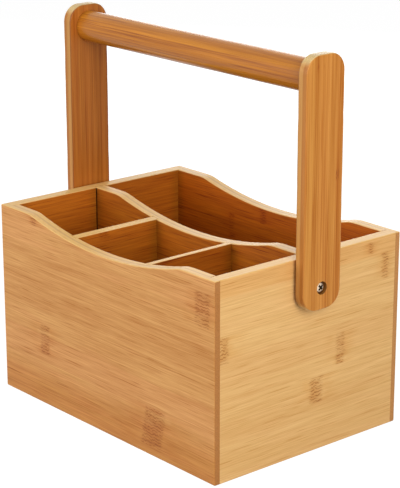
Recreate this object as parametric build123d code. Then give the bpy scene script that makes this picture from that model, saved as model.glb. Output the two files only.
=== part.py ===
from build123d import *
import os
from math import sqrt

# Bamboo utensil caddy with a swinging carrying handle.
#
# An open box of bamboo boards: scalloped front, back and long divider, two level end
# panels let into rabbets, a bottom board in grooves and two cross dividers.
# The handle is two flat arms and a round grip, hung on one screw at each end of the box.
#
# Millimetres. X runs along the box, -Y is the front with the three short cells, +Z is up.
# The origin is the centre of the box's footprint on the table.

# Box
BOX_LENGTH = 250.0            # over the ends of the front and back panels
BOX_WIDTH = 178.5             # over the faces of the front and back panels
BOX_HEIGHT = 148.5            # to the level tops of the end panels
LONG_PANEL_THICKNESS = 10.0   # front and back panels
END_PANEL_THICKNESS = 10.0
CORNER_LIP = 4.7              # what each rabbet leaves of a long panel over the end panel's edge
BOARD_ROUNDING = 0.8          # sanded edges of the box boards

# Scallop along the tops of the long boards
SCALLOP_LENGTH = 184.0        # between the level parts of the rim
SCALLOP_DEPTH = 12.0          # at mid length
BACK_SCALLOP_LENGTH = 176.0   # the back panel's is a little shorter and shallower
BACK_SCALLOP_DEPTH = 11.0
SHOULDER_RADIUS = 35.0        # convex bend where the rim leaves the level

# Bottom board
BOTTOM_THICKNESS = 6.0
BOTTOM_HEIGHT = 4.0           # its underside above the table
BOTTOM_GROOVE_DEPTH = 4.0
BOTTOM_EDGE_CLEARANCE = 0.3
BOTTOM_FACE_CLEARANCE = 0.2   # between its upper face and the groove

# Dividers
LONG_DIVIDER_THICKNESS = 10.0
LONG_HOUSING_DEPTH = 3.0      # groove in each end panel
LONG_HOUSING_CLEARANCE = 0.4  # on each face of the long divider, and at its ends
CROSS_DIVIDER_THICKNESS = 6.3
CROSS_DIVIDER_SPACING = 86.0  # centre to centre
CROSS_HOUSING_DEPTH = 2.0     # groove in the front panel and in the long divider
CROSS_HOUSING_CLEARANCE = 0.15
CROSS_ROUNDING = 0.5

# Handle
ARM_WIDTH = 36.0
ARM_THICKNESS = 8.4
ARM_CORNER_RADIUS = 13.0
ARM_ROUNDING = 1.0
ARM_BELOW_PIVOT = 16.0
ARM_ABOVE_GRIP = 17.0         # from the grip's centre line to the arm's top end
GRIP_DIAMETER = 24.0
GRIP_ABOVE_PIVOT = 148.0
SPIGOT_DIAMETER = 15.0        # turned end of the grip, glued into the arm
SPIGOT_LENGTH = 5.0
SPIGOT_CLEARANCE = 0.05
SOCKET_END_CLEARANCE = 0.4
PIVOT_BELOW_RIM = 21.0         # pivot line under the level rim
ARM_GAP = 2.3                 # from each end panel to the arm

# Pivot screws and spacer washers
SCREW_LENGTH = 30.0           # under the head
SHANK_DIAMETER = 4.0
SCREW_POINT_LENGTH = 5.0
SCREW_TIP_DIAMETER = 0.8      # blunt end of the point
PILOT_CLEARANCE = 0.05        # radial, in the end panel and the divider
ARM_BORE_CLEARANCE = 0.08     # radial, the arm turns on the shank
PILOT_END_CLEARANCE = 1.0
HEAD_DIAMETER = 8.4
HEAD_HEIGHT = 2.6
HEAD_DOME = 1.5               # rounded part of the head's height
HEAD_SEAT_CLEARANCE = 0.1
RECESS_SPAN = 5.0             # across the arms of the cross recess
RECESS_WIDTH = 1.2
RECESS_DEPTH = 1.3
COUNTERBORE_DIAMETER = 9.4
HEAD_SINK = 1.0               # from the arm's outer face down to the top of the head
WASHER_DIAMETER = 14.0
WASHER_BORE_CLEARANCE = 0.2
WASHER_FACE_CLEARANCE = 0.1   # between washer and arm

OVERCUT = 1.0                 # how far each cutter stands out of what it cuts

# Places that follow from the sizes
BOX_END_X = BOX_LENGTH / 2
END_INNER_X = BOX_END_X - END_PANEL_THICKNESS
BOX_FACE_Y = BOX_WIDTH / 2
LONG_INNER_Y = BOX_FACE_Y - LONG_PANEL_THICKNESS
BOTTOM_TOP = BOTTOM_HEIGHT + BOTTOM_THICKNESS
PIVOT_HEIGHT = BOX_HEIGHT - PIVOT_BELOW_RIM
ARM_INNER_X = BOX_END_X + ARM_GAP
ARM_OUTER_X = ARM_INNER_X + ARM_THICKNESS
GRIP_HEIGHT = PIVOT_HEIGHT + GRIP_ABOVE_PIVOT
HEAD_TOP_X = ARM_OUTER_X - HEAD_SINK
HEAD_SEAT_X = HEAD_TOP_X - HEAD_HEIGHT
SCREW_TIP_X = HEAD_SEAT_X - SCREW_LENGTH
PILOT_RADIUS = SHANK_DIAMETER / 2 + PILOT_CLEARANCE
LONG_DIVIDER_END_X = END_INNER_X + LONG_HOUSING_DEPTH - LONG_HOUSING_CLEARANCE


def block(x_span, y_span, z_span):
    """Solid box between two values on each axis."""
    sizes = [high - low for low, high in (x_span, y_span, z_span)]
    centre = [(high + low) / 2 for low, high in (x_span, y_span, z_span)]
    return Pos(*centre) * Box(*sizes)


def rod_along_x(radius, x_from, x_to, height):
    """Round bar parallel to X on the plane Y = 0."""
    bar = Cylinder(radius, abs(x_to - x_from))
    return Pos((x_from + x_to) / 2, 0, height) * Rot(0, 90, 0) * bar


def mirrored_end(shape):
    """The same shape at the other end of the box."""
    return mirror(shape, Plane.YZ)


def scalloped_board(half_length, z_bottom, y_span, rounding, length=SCALLOP_LENGTH, depth=SCALLOP_DEPTH):
    """Board in the XZ plane whose top dips in one shallow arc between two rounded shoulders."""
    shoulder_x = length / 2
    arc_sum = (shoulder_x ** 2 / depth + depth) / 2
    dip_radius = arc_sum - SHOULDER_RADIUS
    share = dip_radius / arc_sum
    tangent_x = shoulder_x * share
    tangent_z = BOX_HEIGHT - SHOULDER_RADIUS + SHOULDER_RADIUS * (arc_sum - depth) / arc_sum
    bend = sqrt((1 + (arc_sum - depth) / arc_sum) / 2)
    bend_x = shoulder_x - SHOULDER_RADIUS * sqrt(1 - bend ** 2)
    bend_z = BOX_HEIGHT - SHOULDER_RADIUS + SHOULDER_RADIUS * bend
    level_left, level_right = (-shoulder_x, 0, BOX_HEIGHT), (shoulder_x, 0, BOX_HEIGHT)
    dip_left, dip_right = (-tangent_x, 0, tangent_z), (tangent_x, 0, tangent_z)
    end_left, end_right = (-half_length, 0, BOX_HEIGHT), (half_length, 0, BOX_HEIGHT)
    outline = Curve() + [
        Line(end_left, level_left),
        ThreePointArc(level_left, (-bend_x, 0, bend_z), dip_left),
        ThreePointArc(dip_left, (0, 0, BOX_HEIGHT - depth), dip_right),
        ThreePointArc(dip_right, (bend_x, 0, bend_z), level_right),
        Line(level_right, end_right),
        Polyline(end_right, (half_length, 0, z_bottom), (-half_length, 0, z_bottom), end_left),
    ]
    front_y, back_y = y_span
    board = Pos(0, front_y, 0) * extrude(make_face(outline), amount=back_y - front_y, dir=(0, 1, 0))
    return board if rounding == 0 else fillet(board.edges(), rounding)


def cross_divider_x(side):
    """Centre of the cross divider on the given side, -1 left or +1 right."""
    return side * CROSS_DIVIDER_SPACING / 2


def cross_housing(side, y_span):
    """Space for a cross divider's edge, open at the rim."""
    half = CROSS_DIVIDER_THICKNESS / 2 + CROSS_HOUSING_CLEARANCE
    middle = cross_divider_x(side)
    return block((middle - half, middle + half), y_span, (BOTTOM_TOP, BOX_HEIGHT + OVERCUT))


def long_panel(scallop_length, scallop_depth):
    """Long panel at the back. The front one is its mirror image with its own scallop and two more grooves."""
    y_span = (LONG_INNER_Y, BOX_FACE_Y)
    board = scalloped_board(BOX_END_X, 0, y_span, BOARD_ROUNDING, scallop_length, scallop_depth)
    rabbet = block(
        (END_INNER_X, BOX_END_X + OVERCUT),
        (LONG_INNER_Y - OVERCUT, BOX_FACE_Y - CORNER_LIP),
        (-OVERCUT, BOX_HEIGHT + OVERCUT),
    )
    groove = block(
        (-BOX_END_X, BOX_END_X),
        (LONG_INNER_Y - OVERCUT, LONG_INNER_Y + BOTTOM_GROOVE_DEPTH),
        (BOTTOM_HEIGHT, BOTTOM_TOP + BOTTOM_FACE_CLEARANCE),
    )
    return board - rabbet - mirrored_end(rabbet) - groove


def front_panel():
    """Front panel with the grooves that hold the cross dividers."""
    board = mirror(long_panel(SCALLOP_LENGTH, SCALLOP_DEPTH), Plane.XZ)
    for side in (-1, 1):
        board -= cross_housing(side, (-LONG_INNER_Y - CROSS_HOUSING_DEPTH, -LONG_INNER_Y + OVERCUT))
    return board


def right_end_panel():
    """Level board between the lips of the long panels, bored for the pivot screw."""
    half_width = BOX_FACE_Y - CORNER_LIP
    board = block((END_INNER_X, BOX_END_X), (-half_width, half_width), (0, BOX_HEIGHT))
    board = fillet(board.edges().filter_by(Axis.Y), BOARD_ROUNDING)
    groove = block(
        (END_INNER_X - OVERCUT, END_INNER_X + BOTTOM_GROOVE_DEPTH),
        (-BOX_FACE_Y, BOX_FACE_Y),
        (BOTTOM_HEIGHT, BOTTOM_TOP + BOTTOM_FACE_CLEARANCE),
    )
    half = LONG_DIVIDER_THICKNESS / 2 + LONG_HOUSING_CLEARANCE
    housing = block(
        (END_INNER_X - OVERCUT, END_INNER_X + LONG_HOUSING_DEPTH),
        (-half, half),
        (BOTTOM_TOP, BOX_HEIGHT + OVERCUT),
    )
    pilot = rod_along_x(PILOT_RADIUS, END_INNER_X - OVERCUT, BOX_END_X + OVERCUT, PIVOT_HEIGHT)
    return board - groove - housing - pilot


def bottom_panel():
    """Bottom board, held in the grooves of all four panels."""
    half_x = END_INNER_X + BOTTOM_GROOVE_DEPTH - BOTTOM_EDGE_CLEARANCE
    half_y = LONG_INNER_Y + BOTTOM_GROOVE_DEPTH - BOTTOM_EDGE_CLEARANCE
    return block((-half_x, half_x), (-half_y, half_y), (BOTTOM_HEIGHT, BOTTOM_TOP))


def long_divider():
    """Scalloped board between the end panels, grooved for the cross dividers."""
    half = LONG_DIVIDER_THICKNESS / 2
    board = scalloped_board(LONG_DIVIDER_END_X, BOTTOM_TOP, (-half, half), BOARD_ROUNDING)
    for side in (-1, 1):
        board -= cross_housing(side, (-half - OVERCUT, -half + CROSS_HOUSING_DEPTH))
    pilot_end = SCREW_TIP_X - PILOT_END_CLEARANCE
    pilot = rod_along_x(PILOT_RADIUS, pilot_end, LONG_DIVIDER_END_X + OVERCUT, PIVOT_HEIGHT)
    return board - pilot - mirrored_end(pilot)


def cross_divider(side):
    """Short board from the front panel to the long divider, its top cut to the scallop."""
    middle = cross_divider_x(side)
    half = CROSS_DIVIDER_THICKNESS / 2
    front_y = -LONG_INNER_Y - CROSS_HOUSING_DEPTH + CROSS_HOUSING_CLEARANCE
    back_y = -LONG_DIVIDER_THICKNESS / 2 + CROSS_HOUSING_DEPTH - CROSS_HOUSING_CLEARANCE
    uncut = block((middle - half, middle + half), (front_y, back_y), (BOTTOM_TOP, BOX_HEIGHT))
    board = uncut & scalloped_board(BOX_END_X, BOTTOM_TOP, (front_y, back_y), 0)
    rim_edges = board.edges().filter_by(Axis.Y).sort_by(Axis.Z)[-2:]
    return fillet(rim_edges, CROSS_ROUNDING)


def right_handle_arm():
    """Flat arm with rounded ends, a counterbored pivot hole and a blind socket for the grip."""
    low = PIVOT_HEIGHT - ARM_BELOW_PIVOT
    high = GRIP_HEIGHT + ARM_ABOVE_GRIP
    outline = Pos(0, (low + high) / 2) * RectangleRounded(ARM_WIDTH, high - low, ARM_CORNER_RADIUS)
    arm = extrude(Plane.YZ.offset(ARM_INNER_X) * outline, amount=ARM_THICKNESS)
    arm = fillet(arm.edges(), ARM_ROUNDING)
    past_inner, past_outer = ARM_INNER_X - OVERCUT, ARM_OUTER_X + OVERCUT
    bore = rod_along_x(SHANK_DIAMETER / 2 + ARM_BORE_CLEARANCE, past_inner, past_outer, PIVOT_HEIGHT)
    counterbore_floor = HEAD_SEAT_X - HEAD_SEAT_CLEARANCE
    counterbore = rod_along_x(COUNTERBORE_DIAMETER / 2, counterbore_floor, past_outer, PIVOT_HEIGHT)
    socket_end = ARM_INNER_X + SPIGOT_LENGTH + SOCKET_END_CLEARANCE
    socket = rod_along_x(SPIGOT_DIAMETER / 2 + SPIGOT_CLEARANCE, past_inner, socket_end, GRIP_HEIGHT)
    return arm - bore - counterbore - socket


def handle_grip():
    """Round grip that butts against both arms, with a turned spigot at each end."""
    bar = rod_along_x(GRIP_DIAMETER / 2, -ARM_INNER_X, ARM_INNER_X, GRIP_HEIGHT)
    spigot_end = ARM_INNER_X + SPIGOT_LENGTH
    return bar + rod_along_x(SPIGOT_DIAMETER / 2, -spigot_end, spigot_end, GRIP_HEIGHT)


def right_pivot_screw():
    """Dome-headed screw with a cross recess, driven through the end panel into the long divider."""
    head = rod_along_x(HEAD_DIAMETER / 2, HEAD_SEAT_X, HEAD_TOP_X, PIVOT_HEIGHT)
    head = fillet(head.edges().sort_by(Axis.X)[-1], HEAD_DOME)
    shoulder_x = SCREW_TIP_X + SCREW_POINT_LENGTH
    shank = rod_along_x(SHANK_DIAMETER / 2, shoulder_x, HEAD_SEAT_X, PIVOT_HEIGHT)
    point = Rot(0, 90, 0) * Cone(SCREW_TIP_DIAMETER / 2, SHANK_DIAMETER / 2, SCREW_POINT_LENGTH)
    point = Pos(SCREW_TIP_X + SCREW_POINT_LENGTH / 2, 0, PIVOT_HEIGHT) * point
    slot = Box(2 * RECESS_DEPTH, RECESS_SPAN, RECESS_WIDTH)
    recess = Rot(45, 0, 0) * slot + Rot(-45, 0, 0) * slot
    return head + shank + point - Pos(HEAD_TOP_X, 0, PIVOT_HEIGHT) * recess


def right_spacer_washer():
    """Washer that holds the arm off the end panel."""
    outer_x = ARM_INNER_X - WASHER_FACE_CLEARANCE
    ring = rod_along_x(WASHER_DIAMETER / 2, BOX_END_X, outer_x, PIVOT_HEIGHT)
    bore_radius = SHANK_DIAMETER / 2 + WASHER_BORE_CLEARANCE
    return ring - rod_along_x(bore_radius, BOX_END_X - OVERCUT, outer_x + OVERCUT, PIVOT_HEIGHT)


def caddy_parts():
    """Every piece by its node name."""
    parts = {
        "front_panel": front_panel(),
        "back_panel": long_panel(BACK_SCALLOP_LENGTH, BACK_SCALLOP_DEPTH),
        "bottom_panel": bottom_panel(),
        "long_divider": long_divider(),
        "left_cross_divider": cross_divider(-1),
        "right_cross_divider": cross_divider(1),
        "handle_grip": handle_grip(),
    }
    paired = {
        "end_panel": right_end_panel(),
        "handle_arm": right_handle_arm(),
        "pivot_screw": right_pivot_screw(),
        "spacer_washer": right_spacer_washer(),
    }
    for name, shape in paired.items():
        parts["right_" + name] = shape
        parts["left_" + name] = mirrored_end(shape)
    return parts


os.makedirs("parts", exist_ok=True)
for node, solid in caddy_parts().items():
    export_step(solid, f"parts/{node}.step")
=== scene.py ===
import math
from functools import partial, partialmethod, reduce

import bmesh
import bpy
from mathutils import Matrix, Vector


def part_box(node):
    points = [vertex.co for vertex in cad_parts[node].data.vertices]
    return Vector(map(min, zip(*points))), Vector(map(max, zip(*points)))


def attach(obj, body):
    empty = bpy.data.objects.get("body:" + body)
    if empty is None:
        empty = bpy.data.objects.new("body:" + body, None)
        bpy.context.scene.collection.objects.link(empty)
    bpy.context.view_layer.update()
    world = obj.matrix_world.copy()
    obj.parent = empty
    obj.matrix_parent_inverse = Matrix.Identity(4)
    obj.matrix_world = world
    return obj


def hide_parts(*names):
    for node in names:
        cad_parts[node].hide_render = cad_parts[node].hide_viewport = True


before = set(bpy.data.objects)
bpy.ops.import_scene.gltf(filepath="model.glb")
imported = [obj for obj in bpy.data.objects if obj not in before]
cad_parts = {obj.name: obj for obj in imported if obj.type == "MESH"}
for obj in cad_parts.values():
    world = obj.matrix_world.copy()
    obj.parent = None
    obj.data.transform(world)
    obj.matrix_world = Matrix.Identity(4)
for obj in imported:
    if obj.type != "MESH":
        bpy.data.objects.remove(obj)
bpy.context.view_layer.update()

# Bamboo utensil caddy with a swinging handle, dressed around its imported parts.
# Metres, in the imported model's frame.
MM = 0.001
QUARTER = math.pi / 2  # of a turn

# ---- sizes
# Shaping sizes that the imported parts' boxes don't tell.
SCALLOP = (184 * MM, 12 * MM)  # length between the level parts of the rim, and depth
BACK_SCALLOP = (176 * MM, 11 * MM)
SHOULDER_RADIUS = 35 * MM
EDGE_RADIUS = 0.8 * MM  # sanded edges of the box boards
EDGE_WEAR = 0.25 * MM  # how far rubbing takes an edge down
CORNER_LIP = 4.7 * MM  # end grain of a long panel beside each end panel
GROOVE_DEPTH = 4 * MM  # for the bottom board
GROOVE_SLACK = 0.2 * MM
CROSS_HOUSING_DEPTH = 2 * MM
CROSS_HOUSING_SLACK = 0.15 * MM
OVERCUT = 1 * MM  # of a cutter past what it cuts
WELD = 0.002 * MM  # points closer than this are one point
SHARP_CORNER = math.radians(35)

ARM_CORNER_RADIUS = 13 * MM
ARM_EDGE_RADIUS = 1 * MM
ARM_EDGE_WEAR = 0.3 * MM
ARM_EDGE_STEPS = 5
ARM_OUTLINE_STEP = 6 * MM  # longest run between two points of its outline
HIGHEST_RUB_WAVE = 2.6  # where all the waves of an arm's wear meet
BORE_RADIUS = 2.08 * MM  # pivot hole through the arm
COUNTERBORE_RADIUS = 4.7 * MM
COUNTERBORE_FLOOR = 3.7 * MM  # below the arm's outer face
SOCKET_RADIUS = 7.55 * MM  # blind hole for the grip's spigot
SOCKET_DEPTH = 5.4 * MM
PILOT_RADIUS = 2.05 * MM  # screw hole in the box boards
PILOT_END = 1 * MM  # of the hole past the screw's tip

GRIP_RADIUS = 12 * MM
SPIGOT_RADIUS = 7.5 * MM
SPIGOT_LENGTH = 5 * MM
GRIP_END_EASE = 0.5 * MM
GRIP_STATIONS = 60
GRIP_UNEVENNESS = 0.05 * MM  # left by turning it by hand

SHANK_RADIUS = 2 * MM
HEAD_RADIUS = 4.2 * MM
HEAD_HEIGHT = 2.6 * MM
HEAD_EDGE = 1 * MM  # straight rim of the screw's head
DOME_STEPS = 8
RECESS_SPAN = 6.6 * MM  # at the mouth of its tapered cutter
RECESS_WIDTH = 1.6 * MM
RECESS_DEPTH = 1.5 * MM
RECESS_TAPER = 0.5  # share of the span that is left at its floor
SHANK_LENGTH = 30 * MM  # under the head
THREAD_PITCH = 1.6 * MM
THREAD_ROOT = 1.45 * MM
THREAD_SHARPNESS = 1.7
THREAD_STATIONS = 150
POINT_LENGTH = 5 * MM
TIP_ROOT = 0.12  # shares of the thread's radii that are left at the point
TIP_CREST = 0.15
WASHER_BORE_RADIUS = 2.2 * MM
WASHER_EASE = 0.25 * MM

panel_low, panel_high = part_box("front_panel")
back_low, back_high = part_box("back_panel")
divider_low, divider_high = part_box("long_divider")
bottom_low, bottom_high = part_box("bottom_panel")
arm_low, arm_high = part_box("right_handle_arm")
grip_low, grip_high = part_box("handle_grip")
screw_low, screw_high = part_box("right_pivot_screw")
cross_boxes = [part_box("left_cross_divider"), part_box("right_cross_divider")]
PIVOT_HEIGHT = (screw_low.z + screw_high.z) / 2
GRIP_HEIGHT = (grip_low.z + grip_high.z) / 2
END_INNER_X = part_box("right_end_panel")[0].x


# ---- node tree helper
NODE_ROWS, NODE_WIDTH, NODE_HEIGHT = 6, 190, 170


class Wiring:
    """Adds nodes to one tree and joins them. A plain value, or a colour as RGB, is set on its socket."""

    def __init__(self, tree):
        self.tree = tree

    def node(self, kind, inputs=None, **settings):
        column, row = divmod(len(self.tree.nodes), NODE_ROWS)
        made = self.tree.nodes.new(kind)
        made.location = (NODE_WIDTH * column, -NODE_HEIGHT * row)
        for name, value in settings.items():
            setattr(made, name, value)
        for name, value in (inputs or {}).items():
            self.feed(made.inputs[name], value)
        return made

    def feed(self, socket, value):
        if isinstance(value, bpy.types.NodeSocket):
            self.tree.links.new(value, socket)
        else:
            socket.default_value = (*value, 1) if socket.type == "RGBA" else value

    def math(self, operation, first, second=0.0, clamp=False):
        made = self.node("ShaderNodeMath", operation=operation, use_clamp=clamp)
        self.feed(made.inputs[0], first)
        self.feed(made.inputs[1], second)
        return made.outputs[0]

    minus = partialmethod(math, "SUBTRACT")
    over = partialmethod(math, "DIVIDE")
    size = partialmethod(math, "ABSOLUTE")
    least = partialmethod(math, "MINIMUM")
    most = partialmethod(math, "MAXIMUM")
    sine = partialmethod(math, "SINE")
    cosine = partialmethod(math, "COSINE")

    def add(self, *values):
        return reduce(partial(self.math, "ADD"), values)

    def times(self, *values):
        return reduce(partial(self.math, "MULTIPLY"), values)

    def mix(self, factor, first, second, blend="MIX"):
        made = self.node("ShaderNodeMix", data_type="RGBA", blend_type=blend)
        self.feed(made.inputs["Factor"], factor)
        self.feed(made.inputs[6], first)
        self.feed(made.inputs[7], second)
        return made.outputs[2]

    def tint(self, amount, colour, tint):
        """Colour multiplied by a tint, as far as the amount goes."""
        return self.mix(amount, colour, tint, "MULTIPLY")

    def span(self, value, low, high):
        """Smooth step of value from 0 at low to 1 at high."""
        inputs = {"Value": value, "From Min": low, "From Max": high}
        return self.node("ShaderNodeMapRange", inputs, interpolation_type="SMOOTHSTEP").outputs["Result"]

    def vector(self, x, y, z):
        return self.node("ShaderNodeCombineXYZ", {"X": x, "Y": y, "Z": z}).outputs["Vector"]

    def split(self, vector):
        return self.node("ShaderNodeSeparateXYZ", {"Vector": vector}).outputs

    def scaled(self, vector, scale):
        return self.node("ShaderNodeMapping", {"Vector": vector, "Scale": scale}).outputs[0]

    def noise(self, vector, detail=2.0, roughness=0.5):
        inputs = {"Vector": vector, "Scale": 1.0, "Detail": detail, "Roughness": roughness}
        return self.node("ShaderNodeTexNoise", inputs).outputs[0]

    def random(self, vector):
        return self.node("ShaderNodeTexWhiteNoise", {"Vector": vector}).outputs["Value"]


def new_group(kind, name, inputs, outputs):
    """Node group with sockets named by kind: its tree, wiring and the sockets inside it."""
    tree = bpy.data.node_groups.new(name, kind)
    for in_out, sockets in (("INPUT", inputs), ("OUTPUT", outputs)):
        for socket_kind, labels in sockets.items():
            for label in labels.split(", "):
                tree.interface.new_socket(label, in_out=in_out, socket_type="NodeSocket" + socket_kind)
    w = Wiring(tree)
    return tree, w, w.node("NodeGroupInput").outputs, w.node("NodeGroupOutput").inputs


def finish_tree(w, shape, material, target):
    """Ends a tree in one plain mesh in its material."""
    mesh = w.node("GeometryNodeRealizeInstances", {"Geometry": shape.outputs[0]})
    mesh = w.node("GeometryNodeSetMaterial", {"Geometry": mesh.outputs[0], "Material": material})
    w.feed(target, mesh.outputs[0])


# ---- mesh helpers
def link(name, mesh):
    """New object for a mesh, in the scene."""
    made = bpy.data.objects.new(name, mesh)
    bpy.context.scene.collection.objects.link(made)
    return made


def from_bmesh(name, shape):
    """New object for a bmesh, its faces turned outwards."""
    bmesh.ops.recalc_face_normals(shape, faces=shape.faces)
    mesh = bpy.data.meshes.new(name)
    shape.to_mesh(mesh)
    shape.free()
    return link(name, mesh)


def settle(piece):
    """Turns what the piece's modifiers make into its plain mesh."""
    evaluated = piece.evaluated_get(bpy.context.evaluated_depsgraph_get())
    mesh = bpy.data.meshes.new_from_object(evaluated)
    piece.modifiers.clear()
    piece.data = mesh
    return piece


def box_cutter(corner, opposite):
    """Plain box between two corners, to cut with."""
    spans = [sorted(span) for span in zip(corner, opposite)]
    shape = bmesh.new()
    bmesh.ops.create_cube(shape, size=1)
    for vertex in shape.verts:
        vertex.co = [low + (high - low) * (share + 0.5) for (low, high), share in zip(spans, vertex.co)]
    return from_bmesh("cutter", shape)


def skinned(name, shape, rings):
    """New object for rings of points, each joined to the next, with capped ends."""
    for end in (rings[0], rings[-1]):
        if len(end) > 1:
            shape.faces.new(end)
    for first, second in zip(rings, rings[1:]):
        sides = max(len(first), len(second))
        for side in range(sides):
            after = (side + 1) % sides
            corners = [first[side % len(first)], first[after % len(first)]]
            corners += [second[after % len(second)], second[side % len(second)]]
            shape.faces.new(list(dict.fromkeys(corners)))
    return from_bmesh(name, shape)


def turned(name, profile, height=0.0, sides=48):
    """Shape turned about a line along X at a height, from (x, radius) points.

    A radius may be a function of the angle, as on a thread.
    """
    shape = bmesh.new()
    rings = []
    for x, radius in profile:
        ring = []
        for side in range(sides if radius else 1):
            angle = 2 * math.pi * side / sides
            reach = radius(angle) if callable(radius) else radius
            ring.append(shape.verts.new((x, reach * math.cos(angle), height + reach * math.sin(angle))))
        rings.append(ring)
    return skinned(name, shape, rings)


def rod_cutter(radius, x_from, x_to, height, sides=64):
    """Round bar along X, to cut with."""
    return turned("cutter", [(x, radius) for x in sorted((x_from, x_to))], height, sides)


def weld(mesh):
    """Joins points that lie on top of each other and closes the slits that cutting leaves between them."""
    shape = bmesh.new()
    shape.from_mesh(mesh)
    bmesh.ops.remove_doubles(shape, verts=shape.verts, dist=WELD)
    bmesh.ops.dissolve_degenerate(shape, edges=shape.edges, dist=WELD)
    slits = [edge for edge in shape.edges if edge.is_boundary]
    bmesh.ops.triangle_fill(shape, edges=slits, use_beauty=False, use_dissolve=False)
    bmesh.ops.triangulate(shape, faces=[face for face in shape.faces if len(face.verts) > 4])
    bmesh.ops.recalc_face_normals(shape, faces=shape.faces)
    shape.to_mesh(mesh)
    shape.free()


def carve(piece, cutters):
    """Cuts each cutter out of the piece."""
    for cutter in cutters:
        cut = piece.modifiers.new("cut", "BOOLEAN")
        cut.operation = "DIFFERENCE"
        cut.solver = "EXACT"
        cut.object = cutter
    settle(piece)
    weld(piece.data)
    for cutter in cutters:
        bpy.data.objects.remove(cutter)
    return piece


def smooth(piece):
    """Soft shading over rounded edges, flat over flat faces, sharp at cut corners."""
    piece.data.polygons.foreach_set("use_smooth", [True] * len(piece.data.polygons))
    piece.data.set_sharp_from_angle(angle=SHARP_CORNER)
    weighted = piece.modifiers.new("weighted", "WEIGHTED_NORMAL")
    weighted.mode = "FACE_AREA"
    weighted.keep_sharp = True
    return settle(piece)


def dress(piece, material):
    """Gives a piece its material and slot."""
    piece.data.materials.clear()
    piece.data.materials.append(material)


def place(piece, name, body, material, nodes):
    """Names the piece, dresses it and sets it in the frame for the nodes it stands for."""
    piece.name = name
    piece.data.name = name
    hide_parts(*nodes)
    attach(piece, body)
    dress(piece, material)


# ---- scalloped boards
CORNER_STEPS = 4  # of an edge's quarter round
BOARD_STATIONS = 128  # along a board
RUB_RATE = 45  # of the wear along a board, in a metre
RUB_START = 0.3  # noise below this leaves an edge unworn
MERGE = 0.004 * MM  # joins the points of a board's closed ends and seam


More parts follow.
